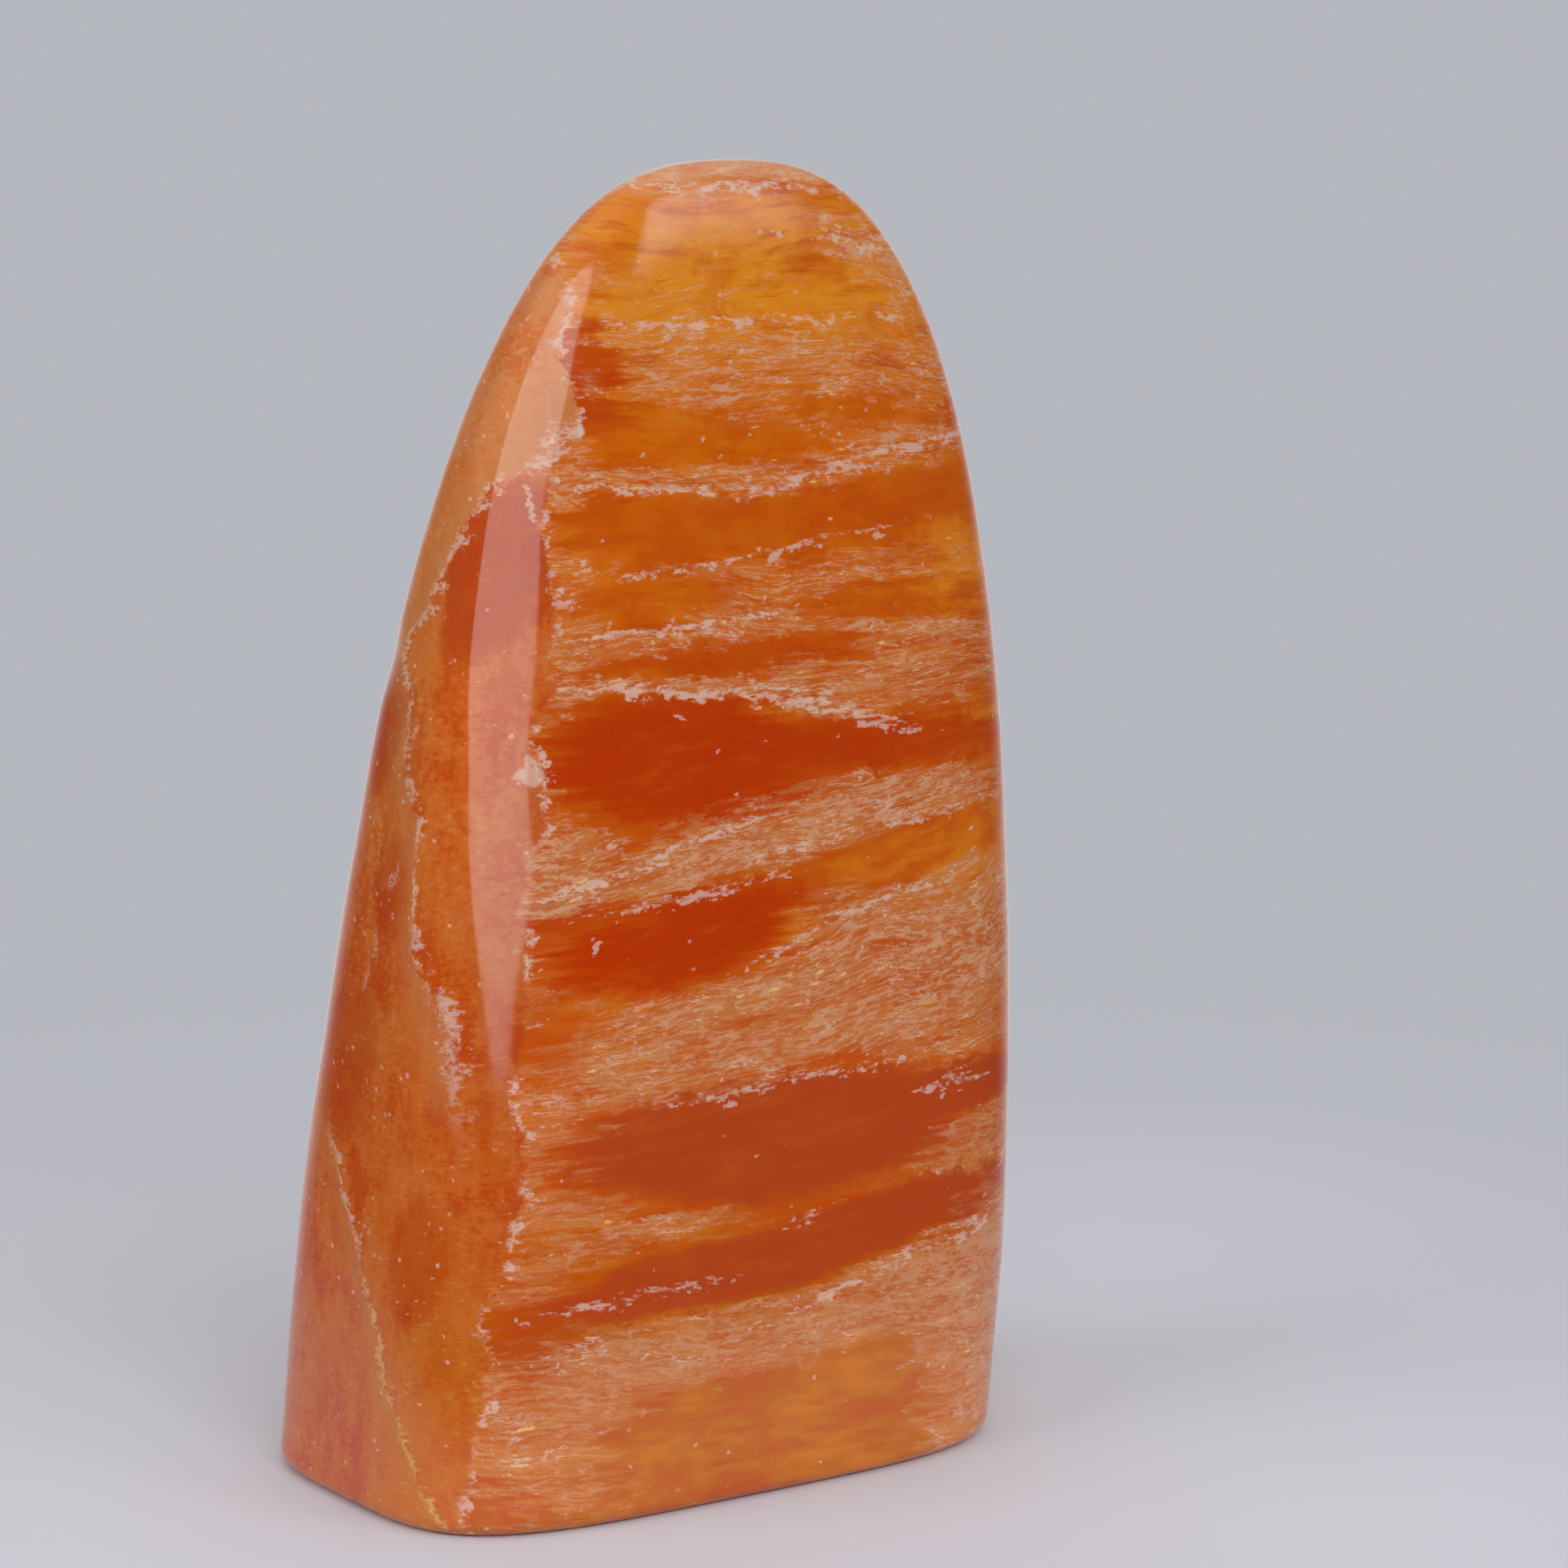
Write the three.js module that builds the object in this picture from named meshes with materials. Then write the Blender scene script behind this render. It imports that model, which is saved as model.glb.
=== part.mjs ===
// Orange calcite freeform: one hand-sized stone, ground to a tapering slab with a domed crown,
// polished all over and cut flat below so that it stands.
// Millimetres, +Z up. X runs across the broad front face, -Y is the front, and the origin is
// under the middle of the stone's extents, on the flat foot.
import * as THREE from 'three';
import { mergeVertices } from 'three/addons/utils/BufferGeometryUtils.js';

// Driving sizes
const HEIGHT = 120;
const FOOT_HALF_WIDTH = 32.3;
const FOOT_HALF_DEPTH = 20.9;
const FOOT_EDGE_RADIUS = 1.8;
// Half the depth that the two broad faces would leave at the crown's height if they ran on straight
const CROWN_HALF_DEPTH = 6;
// The stone leans towards +X on its way up, and straightens a little near the top
const LEAN_AT_TOP = 14;
const LEAN_RETURN = -3.5;
// Swelling of the width at mid-height, as a share of the width
const MIDDLE_SWELL = 0.045;
// The broad faces swell by this much at a quarter of the height, and draw in as much at three quarters
const FACE_SWELL = 1.2;

// How the width and the depth close into the dome: 1 - share^rise, then its root
const WIDTH_RISE = 3.4;
const WIDTH_ROOT = 2.65;
const DEPTH_RISE = 8;
const DEPTH_ROOT = 2.4;

// Squareness of the level section: 2 is an ellipse, and more is closer to a rectangle
const FOOT_SQUARENESS = 4;
const CROWN_SQUARENESS = 2.8;

// Steps of the faceted solid
const STEPS_AROUND = 80;
const STEPS_UP = 40;
const FOOT_EDGE_STEPS = 4;

// Share of the height, 0 at the foot and 1 at the top
function heightShare(z) {
  return THREE.MathUtils.clamp(z / HEIGHT, 0, 1);
}

// Half the width of the level section at a height, before the foot's edge is rounded
function halfWidth(z) {
  const share = heightShare(z);
  const swell = 1 + 4 * MIDDLE_SWELL * share * (1 - share);
  return FOOT_HALF_WIDTH * swell * (1 - share ** WIDTH_RISE) ** (1 / WIDTH_ROOT);
}

// Half the depth of the level section at a height: a gently swelling taper that closes into the dome
function halfDepth(z) {
  const share = heightShare(z);
  const taper = THREE.MathUtils.lerp(FOOT_HALF_DEPTH, CROWN_HALF_DEPTH, share);
  const swell = FACE_SWELL * Math.sin(2 * Math.PI * share);
  return (taper + swell) * (1 - share ** DEPTH_RISE) ** (1 / DEPTH_ROOT);
}

// How far the rounded foot edge stands in from the wall at a height
function footInset(z) {
  const below = THREE.MathUtils.clamp(FOOT_EDGE_RADIUS - z, 0, FOOT_EDGE_RADIUS);
  return FOOT_EDGE_RADIUS - Math.sqrt(FOOT_EDGE_RADIUS ** 2 - below ** 2);
}

// Shift of the section's middle along X at a height
function leanShift(z) {
  const share = heightShare(z);
  return LEAN_AT_TOP * share + LEAN_RETURN * share ** 2;
}

// Profile of the turned blank: flat foot, rounded foot edge, wall and dome, closed on the axis
function blankProfile() {
  const heights = [];
  for (let step = 0; step <= FOOT_EDGE_STEPS; step += 1) {
    const turn = (step / FOOT_EDGE_STEPS) * (Math.PI / 2);
    heights.push(FOOT_EDGE_RADIUS * (1 - Math.cos(turn)));
  }
  const start = Math.asin(FOOT_EDGE_RADIUS / HEIGHT);
  for (let step = 1; step < STEPS_UP; step += 1) {
    heights.push(HEIGHT * Math.sin(THREE.MathUtils.lerp(start, Math.PI / 2, step / STEPS_UP)));
  }
  const wall = heights.map((z) => new THREE.Vector2(halfWidth(z) - footInset(z), z));
  return [new THREE.Vector2(0, 0), ...wall, new THREE.Vector2(0, HEIGHT)];
}

// Place on the stone of one point of the round blank, whose axis is its own Y: the point is stood
// upright, pushed out to the corners, flattened and leaned
function shapedPoint(turned) {
  const z = turned.y;
  const reach = Math.hypot(turned.x, turned.z);
  if (reach === 0) {
    return new THREE.Vector3(leanShift(z), 0, z);
  }
  const across = turned.x / reach;
  const along = -turned.z / reach;
  const squareness = THREE.MathUtils.lerp(FOOT_SQUARENESS, CROWN_SQUARENESS, heightShare(z));
  const sum = Math.abs(across) ** squareness + Math.abs(along) ** squareness;
  const cornerReach = reach * sum ** (-1 / squareness);
  const inset = footInset(z);
  const flatten = (halfDepth(z) - inset) / (halfWidth(z) - inset);
  return new THREE.Vector3(leanShift(z) + across * cornerReach, along * cornerReach * flatten, z);
}

// Leaves out the faces that have collapsed to a line at the two poles
function withoutCollapsedFaces(geometry) {
  const corners = geometry.index.array;
  const kept = [];
  for (let at = 0; at < corners.length; at += 3) {
    const [a, b, c] = corners.slice(at, at + 3);
    if (a !== b && b !== c && c !== a) {
      kept.push(a, b, c);
    }
  }
  geometry.setIndex(kept);
  return geometry;
}

// The stone's surface: a turned blank, reshaped, merged into one closed body and centred
function stoneGeometry() {
  const blank = new THREE.LatheGeometry(blankProfile(), STEPS_AROUND);
  blank.deleteAttribute('normal');
  blank.deleteAttribute('uv');
  const merged = withoutCollapsedFaces(mergeVertices(blank, 1e-4));
  const place = merged.getAttribute('position');
  for (let at = 0; at < place.count; at += 1) {
    const point = shapedPoint(new THREE.Vector3().fromBufferAttribute(place, at));
    place.setXYZ(at, point.x, point.y, point.z);
  }
  merged.computeBoundingBox();
  const middle = merged.boundingBox.getCenter(new THREE.Vector3());
  merged.translate(-middle.x, -middle.y, 0);
  merged.computeVertexNormals();
  return merged;
}

// Polished orange calcite
function calciteMaterial() {
  return new THREE.MeshStandardMaterial({ color: 0xcf6a24, roughness: 0.14, metalness: 0 });
}

const stone = new THREE.Mesh(stoneGeometry(), calciteMaterial());
stone.name = 'stone';

const freeform = new THREE.Group();
freeform.add(stone);

export default freeform;
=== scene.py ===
"""Looks of an orange calcite freeform: one polished, banded stone standing on its flat foot."""

import logging
import math
from dataclasses import dataclass
from enum import Enum

import bpy
import numpy as np
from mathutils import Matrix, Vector


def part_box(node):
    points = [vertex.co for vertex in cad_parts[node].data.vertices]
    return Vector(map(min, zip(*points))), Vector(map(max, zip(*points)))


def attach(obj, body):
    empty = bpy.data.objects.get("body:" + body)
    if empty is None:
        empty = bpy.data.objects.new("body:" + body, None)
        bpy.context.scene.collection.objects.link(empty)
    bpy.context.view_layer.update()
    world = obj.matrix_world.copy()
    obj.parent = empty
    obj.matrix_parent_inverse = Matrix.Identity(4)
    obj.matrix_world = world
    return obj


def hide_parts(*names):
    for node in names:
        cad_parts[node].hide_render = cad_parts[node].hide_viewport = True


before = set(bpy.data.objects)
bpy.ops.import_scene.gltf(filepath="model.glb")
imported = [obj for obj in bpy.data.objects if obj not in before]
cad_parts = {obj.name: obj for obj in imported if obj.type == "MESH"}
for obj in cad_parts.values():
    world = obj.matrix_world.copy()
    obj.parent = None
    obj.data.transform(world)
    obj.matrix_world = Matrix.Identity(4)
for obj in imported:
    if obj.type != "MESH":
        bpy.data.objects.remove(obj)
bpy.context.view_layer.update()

LOG = logging.getLogger("freeform")
MM = 0.001
TINY = 1e-12
PHOTO_WIDTH_PX = 1932

Colour = tuple[float, float, float]
Stops = tuple[tuple[float, Colour], ...]


@dataclass(frozen=True)
class Chip:
    """A small shallow hollow in the polish, in millimetres.

    It lies on the front face at (across, height), or around (across, along, height) where along is given.
    """

    across: float
    height: float
    radius: float
    depth: float
    along: float | None = None

    def hollow(self, points: np.ndarray) -> np.ndarray:
        """Depth of the chip at each point: depth * (1 - (distance / radius)^2)^2 within its radius.

        Args:
            points: places in millimetres, with X, Y and Z last.

        Returns:
            The depths, 0 outside the chip.
        """
        if self.along is None:
            level = np.hypot(points[..., 0] - self.across, points[..., 2] - self.height)
            distance = np.where(points[..., 1] < 0, level, np.inf)
        else:
            middle = np.array([self.across, self.along, self.height])
            distance = np.linalg.norm(points - middle, axis=-1)
        inside = np.clip(1 - (distance / self.radius) ** 2, 0, 1)
        return self.depth * inside**2


@dataclass(frozen=True)
class StoneForm:
    """Driving sizes of the ground stone, in millimetres, and the surface that they give.

    A level section is a superellipse. Its half width and half depth close into the dome as
    (1 - share^rise)^(1/root), where share is the height's share of the whole. The section's middle leans
    towards +X, and the foot has a rounded edge.
    """

    height: float
    foot_half_width: float = 32.3
    foot_half_depth: float = 20.9
    foot_edge_radius: float = 1.8
    crown_half_depth: float = 6.0
    lean_at_top: float = 14.0
    lean_return: float = -3.5
    middle_swell: float = 0.045
    face_swell: float = 1.2
    width_rise: float = 3.4
    width_root: float = 2.65
    depth_rise: float = 8.0
    depth_root: float = 2.4
    foot_squareness: float = 4.0
    crown_squareness: float = 2.8

    def half_width(self, share: np.ndarray) -> np.ndarray:
        """Half the width of the section at a share of the height."""
        swell = 1 + 4 * self.middle_swell * share * (1 - share)
        return self.foot_half_width * swell * (1 - share**self.width_rise) ** (1 / self.width_root)

    def half_depth(self, share: np.ndarray) -> np.ndarray:
        """Half the depth of the section: a gently swelling taper that closes into the dome."""
        taper = self.foot_half_depth + (self.crown_half_depth - self.foot_half_depth) * share
        swell = self.face_swell * np.sin(2 * np.pi * share)
        return (taper + swell) * (1 - share**self.depth_rise) ** (1 / self.depth_root)

    def foot_inset(self, z: np.ndarray) -> np.ndarray:
        """How far the rounded foot edge stands in from the wall at a height, as a quarter circle."""
        below = np.clip(self.foot_edge_radius - z, 0, self.foot_edge_radius)
        return self.foot_edge_radius - np.sqrt(self.foot_edge_radius**2 - below**2)

    def surface(self, turn: np.ndarray, z: np.ndarray, reach: np.ndarray) -> np.ndarray:
        """Points of the stone's surface.

        Args:
            turn: angles round the stone, in radians, one per column.
            z: heights, one per row.
            reach: share of the way from the section's middle to its edge, one per row.

        Returns:
            An array of rows by columns by 3. Each point is the section's middle plus
            reach * (half_width * cos, half_depth * sin) / (|cos|^n + |sin|^n)^(1/n).
        """
        share = np.clip(z / self.height, 0, 1)[:, None]
        inset = self.foot_inset(z)[:, None]
        across, along = np.cos(turn)[None], np.sin(turn)[None]
        square = self.foot_squareness + (self.crown_squareness - self.foot_squareness) * share
        to_corner = (np.abs(across) ** square + np.abs(along) ** square) ** (-1 / square)
        half_width = np.maximum(self.half_width(share) - inset, 0) * reach[:, None]
        half_depth = np.maximum(self.half_depth(share) - inset, 0) * reach[:, None]
        lean = self.lean_at_top * share + self.lean_return * share**2
        x = lean + half_width * across * to_corner
        y = half_depth * along * to_corner
        return np.stack([x, y, np.broadcast_to(z[:, None], x.shape)], -1)


class Socket:
    """A node's output that takes part in Python arithmetic and adds its Math nodes as it goes."""

    def __init__(self, kit: "NodeKit", link: bpy.types.NodeSocket) -> None:
        """Keeps the node kit and the output that this value comes from."""
        self.kit = kit
        self.link = link

    def __add__(self, other: "Number") -> "Socket":
        """Sum."""
        return self.kit.math("ADD", self, other)

    __radd__ = __add__

    def __sub__(self, other: "Number") -> "Socket":
        """Difference."""
        return self.kit.math("SUBTRACT", self, other)

    def __rsub__(self, other: "Number") -> "Socket":
        """Difference, the other way round."""
        return self.kit.math("SUBTRACT", other, self)

    def __mul__(self, other: "Number") -> "Socket":
        """Product."""
        return self.kit.math("MULTIPLY", self, other)

    __rmul__ = __mul__

    def __truediv__(self, other: "Number") -> "Socket":
        """Quotient."""
        return self.kit.math("DIVIDE", self, other)

    def __abs__(self) -> "Socket":
        """Size without sign."""
        return self.kit.math("ABSOLUTE", self)


Number = Socket | float | int


class NodeKit:
    """Builds the nodes of one material or world tree."""

    def __init__(self, tree: bpy.types.NodeTree) -> None:
        """Empties the tree and keeps it."""
        self.tree = tree
        tree.nodes.clear()

    def node(
        self, kind: str, settings: dict[str, object], sockets: dict[str | int, object]
    ) -> bpy.types.Node:
        """Adds one node.

        Args:
            kind: the node's type name.
            settings: its options, set first. "stops" are a colour ramp's (place, colour) pairs.
            sockets: values or links of its inputs, by name or number.

        Returns:
            The node.
        """
        made = self.tree.nodes.new(kind)
        for name, value in settings.items():
            if name == "stops":
                self.set_stops(made.color_ramp, value)
            else:
                setattr(made, name, value)
        for name, value in sockets.items():
            self.feed(made.inputs[name], value)
        return made

    def feed(self, target: bpy.types.NodeSocket, value: object) -> None:
        """Links a socket to an input, or sets the input's own value.

        Args:
            target: the input.
            value: a socket, a number, a vector, or a colour of three numbers.
        """
        if isinstance(value, Socket):
            self.tree.links.new(value.link, target)
        elif isinstance(value, tuple) and len(value) == 3 and target.type == "RGBA":
            target.default_value = (*value, 1.0)
        else:
            target.default_value = value

    @staticmethod
    def set_stops(ramp: bpy.types.ColorRamp, stops: Stops) -> None:
        """Gives a colour ramp its stops.

        Args:
            ramp: the colour ramp.
            stops: (place, colour) pairs, in rising order.
        """
        while len(ramp.elements) < len(stops):
            ramp.elements.new(0.5)
        for element, (place, colour) in zip(ramp.elements, stops):
            element.position = place
            element.color = (*colour, 1.0)

    def out(self, made: bpy.types.Node, name: str | int = 0) -> Socket:
        """One output of a node, as a value."""
        return Socket(self, made.outputs[name])

    def math(self, operation: str, first: Number, second: Number = 0.0) -> Socket:
        """A Math node of one or two inputs."""
        return self.out(self.node("ShaderNodeMath", {"operation": operation}, {0: first, 1: second}))

    def largest(self, values: list[Socket]) -> Socket:
        """The largest of several values.

        Args:
            values: one or more values.

        Returns:
            The largest at each place.
        """
        best = values[0]
        for value in values[1:]:
            best = self.math("MAXIMUM", best, value)
        return best

    def smooth(self, value: Number, low: float, high: float, top: float = 1.0) -> Socket:
        """A smooth step.

        Args:
            value: what it follows.
            low: where it is 0.
            high: where it is top. It may lie below low, and then the step falls.
            top: the step's height.

        Returns:
            The step.
        """
        flipped = low > high
        sockets = {
            "Value": value,
            "From Min": min(low, high),
            "From Max": max(low, high),
            "To Min": top if flipped else 0.0,
            "To Max": 0.0 if flipped else top,
        }
        return self.out(self.node("ShaderNodeMapRange", {"interpolation_type": "SMOOTHSTEP"}, sockets))

    def vector(self, x: Number, y: Number, z: Number) -> Socket:
        """A vector of three values."""
        return self.out(self.node("ShaderNodeCombineXYZ", {}, {0: x, 1: y, 2: z}))

    def parts(self, vector: Socket) -> tuple[Socket, Socket, Socket]:
        """The three values of a vector or colour."""
        split = self.node("ShaderNodeSeparateXYZ", {}, {0: vector})
        return self.out(split, 0), self.out(split, 1), self.out(split, 2)

    def scaled(self, vector: Socket, by: Colour) -> Socket:
        """A vector or colour times three numbers."""
        return self.out(self.node("ShaderNodeVectorMath", {"operation": "MULTIPLY"}, {0: vector, 1: by}))

    def noise(self, place: Socket, weave: "Weave", detail: float = 2.0, rough: float = 0.55) -> Socket:
        """Soft noise about 0.5 at a place, woven as closely as told."""
        woven = self.scaled(place, weave.value)
        sockets = {"Vector": woven, "Scale": 1.0, "Detail": detail, "Roughness": rough}
        return self.out(self.node("ShaderNodeTexNoise", {}, sockets), "Fac")

    def noise_vector(self, place: Socket, weave: "Weave") -> Socket:
        """Three soft noises at once."""
        sockets = {"Vector": self.scaled(place, weave.value), "Scale": 1.0}
        return self.out(self.node("ShaderNodeTexNoise", {}, sockets), "Color")

    def cells(self, place: Socket, weave: "Weave") -> tuple[Socket, Socket]:
        """Distance to the nearest of many scattered points, and that point's random colour."""
        sockets = {"Vector": self.scaled(place, weave.value), "Scale": 1.0}
        made = self.node("ShaderNodeTexVoronoi", {}, sockets)
        return self.out(made, "Distance"), self.out(made, "Color")

    def mix(self, share: Number, first: Socket | Colour, second: Socket | Colour) -> Socket:
        """First colour at 0, second at 1."""
        settings = {"data_type": "RGBA", "clamp_factor": True}
        return self.out(self.node("ShaderNodeMix", settings, {0: share, 6: first, 7: second}), 2)

    def ramp(self, value: Number, stops: Stops) -> Socket:
        """A colour ramp."""
        return self.out(self.node("ShaderNodeValToRGB", {"stops": stops}, {0: value}), "Color")


class Tone(Enum):
    """Colours of the stone, in linear light."""

    GOLD = (0.88, 0.32, 0.016)
    CROWN = (0.76, 0.21, 0.009)
    HONEY = (0.76, 0.225, 0.035)
    AMBER = (0.715, 0.145, 0.002)
    BASE = (0.54, 0.130, 0.002)
    ORANGE = (0.63, 0.115, 0.005)
    DEEP = (0.58, 0.070, 0.002)
    HOT = (0.54, 0.036, 0.0005)
    CLAY = (0.50, 0.062, 0.012)
    FLANK = (0.67, 0.132, 0.012)
    EARTH = (0.60, 0.076, 0.005)
    HAZE = (0.72, 0.225, 0.050)
    MILK = (0.63, 0.245, 0.085)
    PALE = (0.75, 0.43, 0.26)
    WHITE = (0.82, 0.60, 0.50)
    # Painted glint: golden spots of reflected light, painted into the colour
    PAINTED_GLINT = (0.98, 0.66, 0.26)


# Clear stone from the foot to the crown, by share of the height that the colours run over
BODY_HEIGHT = 120.0
BODY_STOPS = (
    (0.02, Tone.BASE.value),
    (0.13, Tone.BASE.value),
    (0.28, Tone.FLANK.value),
    (0.48, Tone.ORANGE.value),
    (0.78, Tone.AMBER.value),
    (0.91, Tone.CROWN.value),
)


@dataclass(frozen=True)
class Patch:
    """One cloud, window or line: an ellipse in (across, height), in millimetres, that may tilt.

    Across is X on the front face, and Y on the left crystal.
    """

    across: float
    height: float
    half_width: float
    half_height: float
    tilt_deg: float = 0.0
    strength: float = 1.0

    def field(self, kit: NodeKit, sheet: Socket, soft: float) -> Socket:
        """How much of the patch a place has.

        Args:
            kit: the tree's node kit.
            sheet: the place, as (across, 1, height).
            soft: how wide the edge is, as a share of the size.

        Returns:
            Strength inside and 0 outside. With u and v measured along the tilted axes, it falls smoothly
            where (u / half_width)^2 + (v / half_height)^2 goes from (1 - soft)^2 to (1 + soft)^2.
        """
        tilt = math.radians(self.tilt_deg)
        axes = (
            (math.cos(tilt) / self.half_width, math.sin(tilt) / self.half_width),
            (-math.sin(tilt) / self.half_height, math.cos(tilt) / self.half_height),
        )
        local = []
        for by_across, by_height in axes:
            offset = -(by_across * self.across + by_height * self.height)
            sockets = {0: sheet, 1: (by_across, offset, by_height)}
            dot = kit.node("ShaderNodeVectorMath", {"operation": "DOT_PRODUCT"}, sockets)
            local.append(kit.out(dot, "Value"))
        far = local[0] * local[0] + local[1] * local[1]
        return kit.smooth(far, (1 + soft) ** 2, (1 - soft) ** 2, self.strength)


HOT_WINDOWS = (
    Patch(-11.4, 101.0, 4.4, 5.2, 0, 0.75),
    Patch(-6.0, 66.8, 14.0, 5.0, -3),
    Patch(17.0, 66.8, 20.0, 2.2, -5, 0.8),
    Patch(-7.5, 51.6, 11.5, 3.6, 11),
    Patch(-22.5, 43.6, 4.2, 6.2, 0, 0.25),
    Patch(20.0, 88.6, 14.0, 2.6, 3, 0.45),
    Patch(-3.0, 87.6, 15.0, 2.4, 0, 0.4),
    Patch(2.0, 75.4, 11.0, 1.8, -2, 0.6),
    Patch(-19.0, 54.2, 6.0, 2.0, 6, 0.6),
)

CLAY_WINDOWS = (
    Patch(1.0, 32.8, 21.0, 5.2, -1),
    Patch(24.0, 34.4, 14.0, 1.9, 0, 0.9),
    Patch(2.0, 22.4, 27.0, 2.7, 6),
    Patch(-25.0, 17.4, 6.0, 3.6, 0, 0.6),
)

CLOUDS = (
    Patch(9.0, 100.4, 20.0, 3.8, -5, 0.65),
    Patch(1.0, 91.6, 17.0, 1.1, 0, 0.8),
    Patch(22.0, 92.8, 13.0, 2.0, 7, 0.9),
    Patch(27.0, 98.0, 6.0, 9.0, -12, 0.5),
    Patch(-3.0, 77.4, 14.0, 1.5, 2, 0.9),
    Patch(4.0, 82.0, 26.0, 1.8, 1, 0.4),
    Patch(-6.0, 72.9, 14.0, 0.9, -4),
    Patch(10.0, 71.8, 6.0, 2.3, -25),
    Patch(24.0, 74.0, 12.0, 4.0, -4, 0.6),
    Patch(9.0, 61.0, 17.0, 3.2, 3, 0.9),
    Patch(-8.0, 57.8, 15.0, 2.1, 12),
    Patch(-17.5, 59.8, 5.0, 1.8, 8, 0.7),
    Patch(6.0, 43.6, 27.0, 5.4, 9, 0.85),
    Patch(22.0, 49.6, 13.0, 5.6, 0, 0.8),
    Patch(-19.0, 32.5, 8.0, 5.5, 10, 0.6),
    Patch(25.0, 30.0, 9.0, 1.9, 6),
    Patch(-14.0, 25.8, 12.0, 1.0, 8, 0.7),
    Patch(4.0, 16.0, 34.0, 3.2, 6),
    Patch(-24.5, 10.5, 8.0, 10.0, 0, 0.95),
    Patch(25.0, 11.0, 10.0, 13.0, 0, 0.9),
    Patch(6.0, 119.2, 19.0, 2.4),
    Patch(22.0, 111.0, 7.0, 3.0, -20, 0.9),
)

CRUMB_LINES = (
    Patch(8.0, 117.4, 12.0, 0.45, -3, 0.9),
    Patch(7.0, 105.4, 23.0, 0.40, -1, 0.85),
    Patch(18.0, 112.6, 7.0, 0.45, -9, 0.8),
    Patch(-5.0, 90.9, 11.0, 0.35, -1, 0.9),
    Patch(20.0, 92.2, 14.0, 0.50, 8),
    Patch(3.0, 84.6, 18.0, 0.30, 5, 0.8),
    Patch(-4.0, 78.6, 12.0, 0.40, 3, 0.9),
    Patch(-5.0, 72.4, 13.0, 0.40, -6),
    Patch(12.0, 70.4, 9.0, 0.55, -18),
    Patch(-9.0, 58.8, 13.0, 0.35, 14, 0.9),
    Patch(14.0, 59.4, 18.0, 0.35, 4, 0.8),
    Patch(-6.0, 55.4, 11.0, 0.35, 8, 0.9),
    Patch(12.0, 51.6, 14.0, 0.40, 12, 0.8),
    Patch(2.0, 37.8, 22.0, 0.35, 2, 0.8),
    Patch(22.0, 34.9, 2.6, 0.9, 10, 0.85),
    Patch(4.0, 25.4, 1.8, 0.8, 10, 0.85),
    Patch(-16.0, 20.2, 9.0, 0.50, 5, 0.8),
    Patch(14.0, 20.0, 16.0, 0.50, 12, 0.8),
)

CLEAR_ZONES = (
    Patch(-1.0, 6.0, 17.0, 5.0, 4, 0.8),
    Patch(4.0, 1.5, 30.0, 2.0, 0, 0.5),
    Patch(20.0, 57.2, 9.0, 3.0, 4, 0.75),
    Patch(-8.0, 81.6, 9.0, 1.6, 0, 0.6),
    Patch(20.0, 79.0, 12.0, 1.3, 2, 0.5),
    Patch(-3.0, 96.6, 8.0, 1.8, 0, 0.6),
    Patch(14.0, 97.4, 9.0, 1.1, -8, 0.6),
)

FLAKES = (
    Patch(-20.9, 66.4, 1.3, 0.8, 0),
    Patch(-20.6, 67.2, 0.5, 1.1, 20),
    Patch(-13.8, 60.0, 0.6, 0.25, 10),
    Patch(-16.5, 51.3, 0.4, 0.35, 40),
    Patch(-5.6, 70.6, 0.7, 0.3, -20),
    Patch(10.4, 113.2, 0.5, 0.28, 0),
    Patch(6.5, 84.4, 0.7, 0.35, 15),
    Patch(18.6, 85.6, 0.8, 0.35, 5),
    Patch(-4.2, 36.0, 0.8, 0.3, 0),
    Patch(-17.8, 90.0, 0.25, 1.6, 3),
)

FLANK_WINDOWS = (
    Patch(-5.6, 84.0, 2.8, 7.5),
    Patch(2.2, 70.0, 2.6, 6.0, 0, 0.8),
    Patch(3.0, 40.0, 5.0, 7.0, 10, 0.6),
    Patch(-2.0, 56.0, 3.0, 5.0, -20, 0.5),
    Patch(-10.0, 24.0, 3.0, 6.0, 0, 0.4),
    Patch(8.0, 86.0, 4.0, 6.0, 0, 0.5),
)

FLANK_CLOUDS = (
    Patch(-14.0, 8.0, 7.0, 11.0, 0, 0.7),
    Patch(-4.5, 96.0, 7.0, 5.0, 0, 0.5),
    Patch(1.0, 88.0, 3.0, 14.0, -14, 0.7),
    Patch(0.0, 62.0, 3.0, 9.0, 10, 0.5),
    Patch(-12.0, 64.0, 2.5, 14.0, 6, 0.35),
)

GOLD_ZONES = (
    Patch(6.0, 109.6, 17.0, 5.4, -3),
    Patch(30.0, 82.0, 6.0, 3.0, 0, 0.8),
    Patch(29.0, 66.0, 8.0, 2.0, 0, 0.6),
    Patch(25.0, 55.5, 12.0, 3.0, 4, 0.5),
    Patch(2.0, 6.0, 24.0, 6.0, 3, 0.22),
)


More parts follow.
